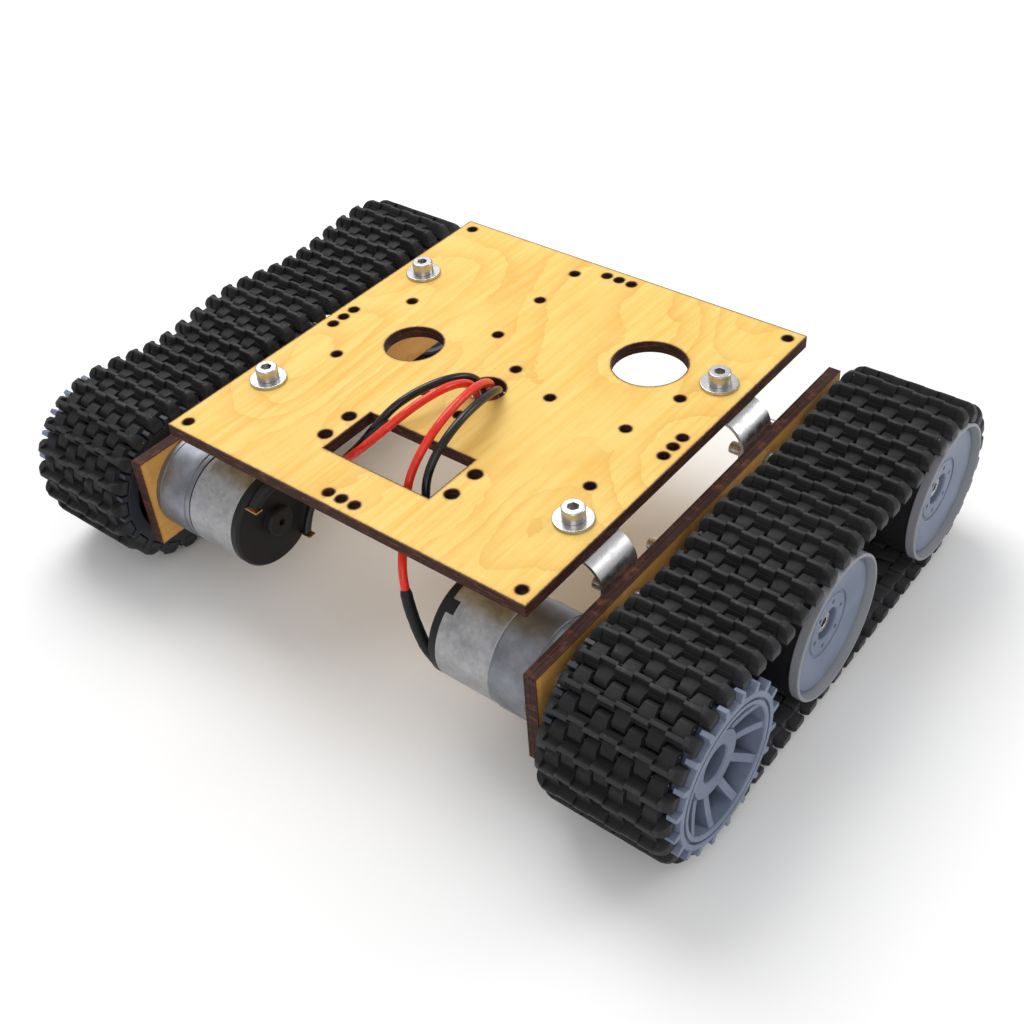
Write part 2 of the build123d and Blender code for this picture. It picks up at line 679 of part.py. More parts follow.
def arc_radii(points):
    """The largest arcs that two neighbouring runs allow, one for each corner of a route."""
    radii = []
    for before, corner, after in zip(points, points[1:], points[2:]):
        turn = (corner - before).get_angle(after - corner)
        shorter = min((corner - before).length, (after - corner).length)
        radii.append(0.45 * shorter / tan(radians(turn) / 2))
    return radii


def rounded_path(points, radii):
    with BuildLine() as line:
        FilletPolyline(*points, radius=radii)
    return line.wire()


def wire_tube(path, outer_r, inner_r=0.0):
    with BuildPart() as tube:
        with BuildSketch(Plane(path @ 0, z_dir=path % 0)):
            Circle(outer_r)
            if inner_r:
                Circle(inner_r, mode=Mode.SUBTRACT)
        sweep(path=path)
    straight_volume = pi * (outer_r**2 - inner_r**2) * path.length
    print(f"  length {path.length:.1f}, volume over straight {tube.part.volume / straight_volume:.4f}")
    return tube.part


bare_ends, sleeves = [], []
for name, route in wire_routes.items():
    points = [Vector(*point) for point in route]
    radii = arc_radii(points)
    print(name, "radii", [round(radius, 1) for radius in radii])
    path = rounded_path(points, radii)
    write(wire_tube(path, wire_r), f"motor_wire_{name}")
    with BuildPart() as bare_end:
        with BuildSketch(Plane(path @ 0, z_dir=-(path % 0))):
            Circle(bare_wire_r)
        extrude(amount=bare_length)
    bare_ends.append(bare_end.solid())
    if name in sleeve_starts:
        start = sleeve_starts[name]
        first = (points[start] + points[start + 1]) / 2
        sleeve_path = rounded_path([first, *points[start + 1:]], radii[start:])
        sleeves.append(wire_tube(sleeve_path, sleeve_r, wire_r + 0.02).solid())
write(Compound(bare_ends), "wire_bare_ends")
write(Compound(sleeves), "wire_sleeves")
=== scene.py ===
"""Looks of the tracked tank chassis. Units are metres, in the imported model's own frame."""
import json
from math import cos, pi, radians, sin, tau

import bmesh
import bpy
from mathutils import Matrix, Vector


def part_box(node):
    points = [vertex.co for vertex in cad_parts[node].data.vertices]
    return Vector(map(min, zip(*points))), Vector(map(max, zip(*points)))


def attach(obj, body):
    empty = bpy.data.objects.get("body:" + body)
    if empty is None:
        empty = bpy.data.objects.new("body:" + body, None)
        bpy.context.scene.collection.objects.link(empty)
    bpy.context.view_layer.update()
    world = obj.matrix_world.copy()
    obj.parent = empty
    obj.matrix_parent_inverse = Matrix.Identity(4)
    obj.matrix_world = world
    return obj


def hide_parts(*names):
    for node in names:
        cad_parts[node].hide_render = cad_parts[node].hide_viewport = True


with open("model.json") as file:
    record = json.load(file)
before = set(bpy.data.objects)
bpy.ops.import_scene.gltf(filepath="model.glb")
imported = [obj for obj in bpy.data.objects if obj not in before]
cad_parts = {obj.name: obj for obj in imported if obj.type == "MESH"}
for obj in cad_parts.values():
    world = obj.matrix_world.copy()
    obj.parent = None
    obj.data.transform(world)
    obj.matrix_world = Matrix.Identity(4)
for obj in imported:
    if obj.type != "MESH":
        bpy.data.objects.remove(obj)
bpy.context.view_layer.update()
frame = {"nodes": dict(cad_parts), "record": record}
MM = 0.001
RECORD = frame["record"]
SIDES = ("left", "right")
AXLES = {joint["name"]: joint["pos_m"] for joint in RECORD["behaviour"]["joints"]}


# ---- camera, floor and light ----
def add_camera():
    camera = bpy.data.objects.new("camera", bpy.data.cameras.new("camera"))
    right = Vector((0.78568, 0.61566, -0.06058))
    up = Vector((-0.36954, 0.54560, 0.75217))
    turn = Matrix((right, up, right.cross(up))).transposed()
    camera.matrix_world = Matrix.Translation((0.22993, -0.26109, 0.30988)) @ turn.to_4x4()
    camera.data.lens = 48.02
    camera.data.sensor_width = 36.0
    camera.data.clip_start = 0.01
    bpy.context.scene.collection.objects.link(camera)
    bpy.context.scene.camera = camera


def add_floor():
    bpy.ops.mesh.primitive_plane_add(size=12.0)
    floor = bpy.context.object
    floor.name = "floor"
    finish, shader = new_material("floor_pale")
    shader.inputs["Base Color"].default_value = (0.93, 0.93, 0.93, 1)
    shader.inputs["Roughness"].default_value = 0.9
    floor.data.materials.append(finish)


def add_area_light(name, at, size, power):
    """Soft square light that faces the chassis."""
    light = bpy.data.objects.new(name, bpy.data.lights.new(name, "AREA"))
    light.data.size = size
    light.data.energy = power
    light.location = at
    light.rotation_euler = (Vector((0, 0, 0.03)) - Vector(at)).to_track_quat("-Z", "Y").to_euler()
    bpy.context.scene.collection.objects.link(light)


def add_lights():
    world = bpy.data.worlds.new("studio")
    world.use_nodes = True
    world.node_tree.nodes["Background"].inputs["Color"].default_value = (1, 1, 1, 1)
    world.node_tree.nodes["Background"].inputs["Strength"].default_value = 0.62
    bpy.context.scene.world = world
    bpy.context.scene.view_settings.view_transform = "Standard"
    add_area_light("key", (-0.55, 0.35, 1.0), 0.8, 9)
    add_area_light("fill", (0.6, -0.9, 0.7), 0.7, 2.5)
    add_area_light("rim", (0.7, 0.9, 0.6), 0.5, 2.5)


# ---- material kit ----
class Graph:
    """Short names for the shader nodes that the materials use."""

    def __init__(self, tree):
        self.tree = tree
        self.place = self.node("ShaderNodeTexCoord").outputs["Object"]

    def node(self, kind, **values):
        made = self.tree.nodes.new(kind)
        for key, value in values.items():
            setattr(made, key, value)
        return made

    def feed(self, socket, value):
        if isinstance(value, bpy.types.NodeSocket):
            self.tree.links.new(value, socket)
        elif value is not None:
            socket.default_value = value

    def mapped(self, scale=(1, 1, 1), turn=(0, 0, 0), move=(0, 0, 0), vector=None):
        made = self.node("ShaderNodeMapping")
        self.feed(made.inputs["Vector"], vector or self.place)
        self.feed(made.inputs["Scale"], scale)
        self.feed(made.inputs["Rotation"], turn)
        self.feed(made.inputs["Location"], move)
        return made.outputs["Vector"]

    def noise(self, scale, detail=3.0, roughness=0.5, vector=None, distortion=0.0):
        made = self.node("ShaderNodeTexNoise")
        self.feed(made.inputs["Vector"], vector or self.place)
        self.feed(made.inputs["Scale"], scale)
        self.feed(made.inputs["Detail"], detail)
        self.feed(made.inputs["Roughness"], roughness)
        self.feed(made.inputs["Distortion"], distortion)
        return made.outputs["Fac"]

    def cells(self, scale, vector=None, output="Distance"):
        made = self.node("ShaderNodeTexVoronoi")
        self.feed(made.inputs["Vector"], vector or self.place)
        self.feed(made.inputs["Scale"], scale)
        return made.outputs[output]

    def math(self, operation, first, second=None, third=None):
        made = self.node("ShaderNodeMath", operation=operation)
        for socket, value in zip(made.inputs, (first, second, third)):
            self.feed(socket, value)
        return made.outputs[0]

    def vector(self, operation, first, second=None):
        made = self.node("ShaderNodeVectorMath", operation=operation)
        self.feed(made.inputs[0], first)
        self.feed(made.inputs[1], second)
        return made.outputs["Value"] if operation in ("LENGTH", "DISTANCE") else made.outputs[0]

    def split(self, vector=None):
        made = self.node("ShaderNodeSeparateXYZ")
        self.feed(made.inputs[0], vector or self.place)
        return made.outputs

    def join(self, x=0.0, y=0.0, z=0.0):
        made = self.node("ShaderNodeCombineXYZ")
        for socket, value in zip(made.inputs, (x, y, z)):
            self.feed(socket, value)
        return made.outputs[0]

    def span(self, value, low, high, to_low=0.0, to_high=1.0):
        """Eases value from low..high to to_low..to_high, and stops at both ends."""
        made = self.node("ShaderNodeMapRange", interpolation_type="SMOOTHSTEP")
        for socket, given in zip(made.inputs, (value, low, high, to_low, to_high)):
            self.feed(socket, given)
        return made.outputs[0]

    def ramp(self, value, *stops):
        made = self.node("ShaderNodeValToRGB")
        self.feed(made.inputs[0], value)
        stopped = made.color_ramp.elements
        while len(stopped) < len(stops):
            stopped.new(0.5)
        for element, (at, colour) in zip(stopped, stops):
            element.position = at
            element.color = (*colour, 1)
        return made.outputs["Color"]

    def mix(self, share, first, second):
        made = self.node("ShaderNodeMix", data_type="RGBA")
        self.feed(made.inputs["Factor"], share)
        for socket, value in ((made.inputs[6], first), (made.inputs[7], second)):
            self.feed(socket, (*value, 1) if isinstance(value, tuple) and len(value) == 3 else value)
        return made.outputs[2]

    def bump(self, height, depth):
        made = self.node("ShaderNodeBump")
        self.feed(made.inputs["Height"], height)
        self.feed(made.inputs["Distance"], depth)
        self.feed(made.inputs["Strength"], 1.0)
        return made.outputs["Normal"]


def new_material(name):
    finish = bpy.data.materials.new(name)
    finish.use_nodes = True
    return finish, finish.node_tree.nodes["Principled BSDF"]


def made_of(name, paint, metallic=0.0, **uniform):
    """Material whose colour, roughness and normal come from paint(graph); other values are uniform."""
    finish, shader = new_material(name)
    graph = Graph(finish.node_tree)
    shader.inputs["Metallic"].default_value = metallic
    for key, value in uniform.items():
        shader.inputs[key.replace("_", " ")].default_value = value
    colour, roughness, normal = paint(graph)
    graph.feed(shader.inputs["Base Color"], colour)
    graph.feed(shader.inputs["Roughness"], roughness)
    graph.feed(shader.inputs["Normal"], normal)
    return finish


# ---- wood ----
def flat_loops(node, thin, face_at):
    """Outlines on a plate's face, read from its CAD mesh: each as (centre, half size, is round)."""
    plate = bmesh.new()
    plate.from_mesh(frame["nodes"][node].data)
    bmesh.ops.remove_doubles(plate, verts=plate.verts, dist=1e-6)
    rims = [
        edge for edge in plate.edges
        if sorted(abs(face.normal[thin]) > 0.9 for face in edge.link_faces) == [False, True]
        and all(abs(vert.co[thin] - face_at) < 1e-5 for vert in edge.verts)
    ]
    loops, left = [], set(rims)
    while left:
        grown, corners = [left.pop()], set()
        while grown:
            edge = grown.pop()
            for vert in edge.verts:
                corners.add(tuple(vert.co))
                near = [other for other in vert.link_edges if other in left]
                left.difference_update(near)
                grown += near
        points = [Vector(corner) for corner in corners]
        lowest = Vector([min(point[axis] for point in points) for axis in range(3)])
        highest = Vector([max(point[axis] for point in points) for axis in range(3)])
        middle, half = (lowest + highest) / 2, (highest - lowest) / 2
        reach = max((point - middle).length for point in points)
        loops.append((middle, half, reach < 1.1 * sorted(half)[1]))
    plate.free()
    return loops


def rim_distance(graph, loops, thin):
    """Distance from the nearest hole or edge, across the plate's face."""
    nearest = None
    used = [axis for axis in range(3) if axis != thin]
    keep = [0.0 if axis == thin else 1.0 for axis in range(3)]
    flat = graph.vector("MULTIPLY", graph.place, keep)
    biggest = max(half.length for _, half, _ in loops)
    for middle, half, is_round in loops:
        centre = [value * share for value, share in zip(middle, keep)]
        if is_round:
            away = graph.math("SUBTRACT", graph.vector("DISTANCE", flat, centre), max(half))
        else:
            offset = graph.vector("ABSOLUTE", graph.vector("SUBTRACT", flat, centre))
            sides = graph.split(graph.vector("SUBTRACT", offset, list(half)))
            away = graph.math("MAXIMUM", sides[used[0]], sides[used[1]])
            if half.length == biggest:
                away = graph.math("MULTIPLY", away, -1.0)
        nearest = away if nearest is None else graph.math("MINIMUM", nearest, away)
    return nearest


def plywood(name, node, tones):
    """Birch ply: cathedral figure, fine fibre and pores, and edges burnt by the laser."""
    lowest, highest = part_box(node)
    thin = min(range(3), key=lambda axis: highest[axis] - lowest[axis])
    loops = flat_loops(node, thin, highest[thin])
    pale, golden, line = tones

    def paint(graph):
        place = graph.split()
        across = place[0] if thin == 2 else place[2]
        layer = graph.join(across, place[1])
        # growth rings cut at a shallow angle, as contours of a slow relief
        relief = graph.noise(1.0, 1.5, 0.4, graph.mapped((15, 9, 1), move=(3.1, 1.7, 0), vector=layer))
        wander = graph.noise(1.0, 4.0, 0.6, graph.mapped((90, 60, 1), vector=layer))
        height = graph.math("MULTIPLY_ADD", wander, 0.06, relief)
        rings = graph.math("FRACT", graph.math("MULTIPLY", height, 15.0))
        late = graph.math("POWER", rings, 2.2)
        fibre = graph.noise(1.0, 5.0, 0.65, graph.mapped((2600, 70, 1), vector=layer))
        streak = graph.noise(1.0, 3.0, 0.6, graph.mapped((420, 18, 1), vector=layer))
        glow = graph.noise(1.0, 3.0, 0.55, graph.mapped((34, 30, 1), vector=layer))
        pores = graph.cells(1.0, graph.mapped((1500, 190, 1), vector=layer))
        pore = graph.span(pores, 0.10, 0.24, 1.0, 0.0)
        colour = graph.mix(graph.span(streak, 0.3, 0.75), pale, golden)
        colour = graph.mix(graph.math("MULTIPLY", late, 0.5), colour, line)
        colour = graph.mix(graph.math("MULTIPLY", graph.span(fibre, 0.45, 0.8), 0.16), colour, line)
        colour = graph.mix(graph.math("MULTIPLY", pore, 0.16), colour, line)
        colour = graph.mix(graph.span(glow, 0.4, 0.7, 0.0, 0.5), colour, pale)
        ragged = graph.noise(900.0, 2.0, 0.6)
        edge = graph.math("MULTIPLY_ADD", ragged, -0.0005, rim_distance(graph, loops, thin))
        smoke = graph.span(edge, 0.0, 0.0012, 0.35, 0.0)
        char = graph.span(edge, 0.0, 0.00035, 0.9, 0.0)
        colour = graph.mix(smoke, colour, (0.42, 0.17, 0.03))
        colour = graph.mix(char, colour, (0.04, 0.014, 0.008))
        facing = graph.node("ShaderNodeTexCoord").outputs["Normal"]
        upright = graph.math("ABSOLUTE", graph.split(facing)[thin])
        cut = graph.span(upright, 0.5, 0.8, 1.0, 0.0)
        plies = graph.math("FRACT", graph.math("DIVIDE", place[thin], (highest[thin] - lowest[thin]) / 3))
        burnt = graph.mix(graph.span(plies, 0.4, 0.6), (0.046, 0.014, 0.009), (0.024, 0.008, 0.006))
        scorch = graph.noise(1.0, 4.0, 0.7, graph.mapped((200, 200, 900)))
        burnt = graph.mix(graph.span(scorch, 0.48, 0.75, 0.0, 0.75), burnt, (0.19, 0.060, 0.028))
        colour = graph.mix(cut, colour, burnt)
        dull = graph.span(fibre, 0.2, 0.8, 0.42, 0.6)
        roughness = graph.math("MULTIPLY_ADD", cut, 0.2, dull)
        grooves = graph.math("MULTIPLY_ADD", pore, -0.6, graph.math("MULTIPLY_ADD", late, 0.5, fibre))
        return colour, roughness, graph.bump(grooves, 0.00004)

    return made_of(name, paint, Specular_IOR_Level=0.25)


# ---- metals ----
def zinc_plate(name, tone=(0.56, 0.55, 0.55), turned=False, stain=0.55):
    """Bright zinc plating with faint tool marks, stains and fine pitting."""
    def paint(graph):
        cloud = graph.noise(260.0, 4.0, 0.6)
        grit = graph.noise(2600.0, 3.0, 0.7)
        marks = graph.noise(1.0, 3.0, 0.6, graph.mapped((3500, 300, 900) if turned else (500, 500, 4200)))
        dark = tuple(channel * 0.5 for channel in tone)
        colour = graph.mix(graph.span(cloud, 0.35, 0.75, 0.0, stain), tone, dark)
        roughness = graph.math("MULTIPLY_ADD", grit, 0.16, graph.span(cloud, 0.3, 0.8, 0.14, 0.34))
        relief = graph.math("MULTIPLY_ADD", marks, 0.6, grit)
        return colour, roughness, graph.bump(relief, 0.00001)

    return made_of(name, paint, metallic=1.0)


def mottled_can(name):
    """Galvanised sheet: crystals of slightly different grey, drawn marks round the can, light scratches."""
    def paint(graph):
        flake_tone = graph.split(graph.cells(900.0, output="Color"))[0]
        cloud = graph.noise(150.0, 5.0, 0.65)
        rings = graph.noise(1.0, 3.0, 0.55, graph.mapped((2400, 60, 60)))
        tone = graph.math("MULTIPLY_ADD", flake_tone, 0.18, graph.math("MULTIPLY", cloud, 0.85))
        colour = graph.ramp(
            tone, (0.2, (0.24, 0.24, 0.25)), (0.5, (0.36, 0.36, 0.37)), (0.8, (0.50, 0.50, 0.51)))
        slant = graph.mapped((300, 2600, 400), turn=(0.4, 0.2, 0.9))
        scratch = graph.span(graph.noise(1.0, 2.0, 0.5, slant), 0.68, 0.74)
        colour = graph.mix(graph.math("MULTIPLY", scratch, 0.3), colour, (0.62, 0.62, 0.64))
        roughness = graph.math("MULTIPLY_ADD", flake_tone, 0.12, graph.span(cloud, 0.3, 0.7, 0.32, 0.5))
        relief = graph.math("MULTIPLY_ADD", rings, 0.7, graph.math("MULTIPLY", cloud, 0.6))
        return colour, roughness, graph.bump(relief, 0.00003)

    return made_of(name, paint, metallic=0.85)


def sintered_case(name):
    """Blue-grey passivated gearbox case with a fine grain and paler rubbed patches."""
    def paint(graph):
        cloud = graph.noise(120.0, 5.0, 0.6)
        grain = graph.noise(2200.0, 3.0, 0.6)
        rings = graph.noise(1.0, 3.0, 0.55, graph.mapped((1900, 50, 50)))
        colour = graph.ramp(
            cloud, (0.3, (0.15, 0.155, 0.18)), (0.55, (0.22, 0.23, 0.26)), (0.8, (0.33, 0.34, 0.38)))
        colour = graph.mix(graph.span(grain, 0.5, 0.8, 0.0, 0.3), colour, (0.40, 0.41, 0.44))
        roughness = graph.math("MULTIPLY_ADD", grain, 0.2, 0.3)
        relief = graph.math("MULTIPLY_ADD", rings, 0.6, grain)
        return colour, roughness, graph.bump(relief, 0.00002)

    return made_of(name, paint, metallic=0.8)


def yellow_brass(name):
    """Turned brass with fine tool rings and slightly tarnished patches."""
    def paint(graph):
        cloud = graph.noise(300.0, 3.0, 0.6)
        lines = graph.noise(1.0, 3.0, 0.6, graph.mapped((3800, 200, 200)))
        colour = graph.mix(graph.span(cloud, 0.35, 0.75, 0.0, 0.6), (0.80, 0.58, 0.24), (0.52, 0.36, 0.14))
        roughness = graph.span(cloud, 0.3, 0.8, 0.2, 0.42)
        return colour, roughness, graph.bump(lines, 0.00001)

    return made_of(name, paint, metallic=1.0)


# ---- plastics and rubber ----
def black_nylon(name, tone, worn):
    """Moulded plastic: slow flow clouds, a fine spark-eroded grain and small pale scuffs."""
    def paint(graph):
        cloud = graph.noise(90.0, 4.0, 0.55)
        fine = graph.noise(1800.0, 3.0, 0.6)
        scuff = graph.span(graph.noise(700.0, 5.0, 0.75, distortion=0.6), 0.62, 0.74)
        colour = graph.mix(graph.span(cloud, 0.35, 0.7, 0.0, 0.5), tone, worn)
        colour = graph.mix(graph.math("MULTIPLY", scuff, 0.25), colour, worn)
        roughness = graph.math("MULTIPLY_ADD", fine, 0.1, graph.span(cloud, 0.3, 0.75, 0.38, 0.55))
        relief = graph.math("MULTIPLY_ADD", scuff, 0.3, fine)
        return colour, roughness, graph.bump(relief, 0.00002)

    return made_of(name, paint, Specular_IOR_Level=0.25)


def wheel_plastic(name, axle=None):
    """Grey-blue moulding. A road wheel has a greyer lip and a black drum; a sprocket has painted shade in its
    recess.
    """
    def paint(graph):
        cloud = graph.noise(90.0, 4.0, 0.55)
        fine = graph.noise(1800.0, 3.0, 0.6)
        scuff = graph.span(graph.noise(600.0, 5.0, 0.75, distortion=0.6), 0.60, 0.74)
        colour = graph.mix(graph.span(cloud, 0.35, 0.7), (0.140, 0.170, 0.245), (0.185, 0.215, 0.295))
        colour = graph.mix(graph.math("MULTIPLY", scuff, 0.3), colour, (0.33, 0.35, 0.40))
        where = graph.split()
        if axle is None:
            # painted shade: the sprocket goes near-black towards its inner web, where its recess lies in
            # shade
            painted_recess_shade = graph.span(graph.math("ABSOLUTE", where[0]), 113 * MM, 122.5 * MM, 0.95, 0.0)
            colour = graph.mix(painted_recess_shade, colour, (0.016, 0.020, 0.027))
        else:
            along, up = (graph.math("SUBTRACT", where[axis], axle[axis]) for axis in (1, 2))
            off_axle = graph.vector("LENGTH", graph.join(0.0, along, up))
            lip = graph.span(off_axle, 20.6 * MM, 21.3 * MM)
            colour = graph.mix(graph.math("MULTIPLY", lip, 0.8), colour, (0.27, 0.275, 0.285))
            drum = graph.span(graph.math("ABSOLUTE", where[0]), 121.2 * MM, 121.6 * MM, 1.0, 0.0)
            outside = graph.span(off_axle, 21.6 * MM, 21.8 * MM)
            colour = graph.mix(graph.math("MULTIPLY", drum, outside), colour, (0.012, 0.012, 0.014))
        roughness = graph.math("MULTIPLY_ADD", fine, 0.1, graph.span(cloud, 0.3, 0.75, 0.34, 0.5))
        return colour, roughness, graph.bump(graph.math("MULTIPLY_ADD", scuff, 0.3, fine), 0.000012)

    return made_of(name, paint, Specular_IOR_Level=0.4)


def track_plastic(name):
    """Near-black moulded links with rubbed edges, a few specks of sawdust, painted highlight on the ridge
    tops and painted light in the low gaps.
    """
    def paint(graph):
        cloud = graph.noise(60.0, 5.0, 0.6)
        fine = graph.noise(1500.0, 4.0, 0.65)
        rubbed = graph.span(graph.noise(420.0, 5.0, 0.7), 0.5, 0.75)
        risen = graph.node("ShaderNodeAttribute", attribute_name="rise").outputs["Fac"]
        # ridge tops lighter: partly rubbed wear, partly painted highlight
        worn = graph.math("MULTIPLY", graph.span(risen, 0.82, 0.98), graph.span(rubbed, 0.0, 1.0, 0.35, 1.0))
        # painted light: low parts made lighter to offset the shade between the fingers
        sunk = graph.span(risen, 0.1, 0.5, 0.7, 0.0)
        colour = graph.mix(graph.span(cloud, 0.35, 0.7), (0.018, 0.018, 0.019), (0.026, 0.026, 0.028))
        colour = graph.mix(graph.math("MULTIPLY", rubbed, 0.4), colour, (0.038, 0.038, 0.042))
        colour = graph.mix(sunk, colour, (0.060, 0.060, 0.064))
        colour = graph.mix(worn, colour, (0.062, 0.062, 0.066))
        speck = graph.span(graph.cells(330.0), 0.045, 0.075, 1.0, 0.0)
        rare = graph.span(graph.noise(75.0, 2.0, 0.5), 0.60, 0.66)
        dust = graph.math("MULTIPLY", speck, rare)
        colour = graph.mix(dust, colour, (0.50, 0.40, 0.25))
        shine = graph.span(rubbed, 0.0, 1.0, 0.52, 0.36)
        roughness = graph.math("MULTIPLY_ADD", dust, 0.4, shine)
        return colour, roughness, graph.bump(graph.math("MULTIPLY_ADD", dust, 1.2, fine), 0.00004)

    return made_of(name, paint, Specular_IOR_Level=0.13)


def silicone(name, tone, dark):
    """Soft glossy wire insulation with a faint extrusion ripple and dust."""
    def paint(graph):
        ripple = graph.noise(600.0, 3.0, 0.5)
        dust = graph.span(graph.noise(2400.0, 3.0, 0.7), 0.6, 0.75)
        colour = graph.mix(graph.span(ripple, 0.3, 0.7, 0.0, 0.6), tone, dark)
        roughness = graph.math("MULTIPLY_ADD", dust, 0.25, 0.24)
        return colour, roughness, graph.bump(ripple, 0.00003)

    return made_of(name, paint, Specular_IOR_Level=0.35, Coat_Weight=0.12, Coat_Roughness=0.12)


add_camera()
add_floor()
add_lights()

MATERIALS = {
    "deck": plywood(
        "deck_plywood", "deck_plate", ((0.84, 0.60, 0.175), (0.79, 0.475, 0.085), (0.70, 0.335, 0.042))),
    "zinc": zinc_plate("zinc_bright"),
    "bracket_steel": zinc_plate("bracket_zinc", (0.60, 0.60, 0.61), turned=True, stain=0.25),
    "gearbox_metal": sintered_case("gearbox_case"),
    "can_steel": mottled_can("motor_can_steel"),
    "black_plastic": black_nylon("black_nylon", (0.008, 0.008, 0.009), (0.02, 0.02, 0.022)),
    "brass": yellow_brass("turned_brass"),
    "shaft_steel": zinc_plate("shaft_ground", (0.62, 0.63, 0.66), turned=True),
    "wheel_plastic": wheel_plastic("sprocket_grey_blue"),
    "road_wheel_mid": wheel_plastic("road_wheel_mid_finish", AXLES["wheel_mid_left"]),
    "road_wheel_rear": wheel_plastic("road_wheel_rear_finish", AXLES["wheel_rear_left"]),
    "bearing_steel": zinc_plate("bearing_polished", (0.70, 0.70, 0.71)),
    # painted shade: the pins are darkened for the shade in the gaps between the track fingers
    "pin_steel": zinc_plate("pin_painted_shade", (0.20, 0.20, 0.21)),
    "track_plastic": track_plastic("track_black"),
    "red_silicone": silicone("silicone_red", (0.78, 0.030, 0.012), (0.60, 0.018, 0.008)),
    "black_silicone": silicone("silicone_black", (0.006, 0.006, 0.007), (0.013, 0.013, 0.014)),
    "tinned_copper": zinc_plate("tinned_strands", (0.80, 0.78, 0.74)),
}
for side in SIDES:
    MATERIALS[f"plate_{side}"] = plywood(
        f"plate_{side}_plywood", f"side_plate_{side}",
        ((0.72, 0.40, 0.11), (0.64, 0.32, 0.08), (0.48, 0.20, 0.04)))


# ---- CAD nodes keep their shapes: rounded edges and their own finish ----
EDGE_ROUNDING = 0.15 * MM
CRISP_ROUNDING = 0.1 * MM   # laser-cut wood and bearing rings


def shade_smooth(data):
    data.polygons.foreach_set("use_smooth", [True] * len(data.polygons))


def dress(node, finish, rounding):
    """Welds the import's split corners, joins its flat triangles, rounds the edges and sets one finish."""
    shown = frame["nodes"][node]
    shown.data.materials.clear()
    shown.data.materials.append(finish)
    if "custom_normal" in shown.data.attributes:
        shown.data.attributes.remove(shown.data.attributes["custom_normal"])
    shade_smooth(shown.data)
    weld = shown.modifiers.new("weld", "WELD")
    weld.merge_threshold = 1e-6
    flat = shown.modifiers.new("flat", "DECIMATE")
    flat.decimate_type = "DISSOLVE"
    flat.angle_limit = radians(0.5)
    bevel = shown.modifiers.new("rounding", "BEVEL")
    bevel.width = rounding
    bevel.segments = 2
    bevel.limit_method = "ANGLE"
    bevel.angle_limit = radians(35)
    bevel.use_clamp_overlap = False
    bevel.harden_normals = True


SLOTS = {part["node"]: part["material_slot"] for part in RECORD["subparts"]}
for node, material_slot in SLOTS.items():
    if material_slot == "plywood":
        finish = MATERIALS["deck"] if node == "deck_plate" else MATERIALS["plate_" + node.split("_")[-1]]
    elif node.startswith("road_wheel"):
        finish = MATERIALS["_".join(node.split("_")[:3])]
    elif node.startswith("track_pins"):
        finish = MATERIALS["pin_steel"]
    else:
        finish = MATERIALS[material_slot]
    dress(node, finish, CRISP_ROUNDING if material_slot in ("plywood", "bearing_steel") else EDGE_ROUNDING)


# ---- motor wires ----
WIRE_DIAMETER = 2.6 * MM
WIRE_ROUTES = {
    "red_right": [
        (2.4, -5.4, 52.0), (2.6, -5.4, 62.4), (4.8, -8.4, 68.6), (7.2, -16.6, 73.2), (9.0, -26.4, 74.8),
        (10.0, -36.8, 73.8), (9.4, -44.8, 69.0), (8.0, -50.2, 61.6), (9.6, -55.2, 54.6),
        (15.4, -62.6, 53.0), (21.4, -69.6, 54.2), (24.6, -74.0, 50.4), (27.6, -76.2, 42.2),
        (30.4, -76.6, 33.4), (32.9, -76.2, 26.2), (34.9, -74.8, 22.3),
    ],
    "black_right": [
        (5.4, -4.6, 53.0), (5.4, -5.0, 63.0), (8.6, -9.4, 67.8), (11.2, -18.4, 71.4), (12.8, -27.8, 72.8),
        (13.6, -37.2, 71.6), (13.2, -44.8, 67.0), (12.8, -49.2, 60.0), (16.4, -53.4, 53.0),
        (24.0, -56.6, 49.8), (31.0, -57.4, 50.0), (35.8, -56.6, 45.4),
    ],
    "red_left": [
        (-0.8, -7.8, 52.6), (-0.6, -8.2, 61.0), (0.3, -12.0, 68.6), (0.5, -20.5, 73.0),
        (-0.6, -29.5, 73.9), (-3.0, -38.0, 72.0), (-6.8, -45.4, 67.6), (-12.0, -49.2, 62.0),
        (-18.5, -49.0, 55.5), (-25.5, -53.5, 50.8), (-31.0, -61.5, 50.6), (-34.6, -69.5, 51.2),
        (-35.8, -74.2, 45.4),
    ],
    "black_left": [
        (-1.2, -3.4, 53.2), (-1.4, -4.0, 61.0), (-2.6, -8.0, 67.6), (-4.4, -16.4, 71.0),
        (-7.6, -25.4, 71.2), (-11.0, -33.6, 69.0), (-14.4, -39.4, 63.6), (-19.4, -41.2, 56.4),
        (-26.2, -41.0, 48.6), (-32.2, -44.0, 41.6), (-35.2, -49.6, 35.0), (-35.9, -54.8, 28.6),
        (-35.9, -56.5, 22.4),
    ],
}
SLEEVE_LENGTHS = {"red_right": 25.9 * MM, "red_left": 20.7 * MM}
SLEEVE_RADIUS = 1.85 * MM
BARE_LENGTH = 6.6 * MM


def wire_curve(name, route):
    """Smooth curve from the motor's terminal to the bare end."""
    data = bpy.data.curves.new(name, "CURVE")
    data.dimensions = "3D"
    data.resolution_u = 16
    data.bevel_depth = WIRE_DIAMETER / 2
    data.bevel_resolution = 7
    spline = data.splines.new("NURBS")
    spline.points.add(len(route) - 1)
    for point, place in zip(spline.points, reversed(route)):
        point.co = (*(Vector(place) * MM), 1)
    spline.order_u = 3
    spline.use_endpoint_u = True
    data.use_fill_caps = True
    piece = bpy.data.objects.new(name, data)
    bpy.context.scene.collection.objects.link(piece)
    return piece


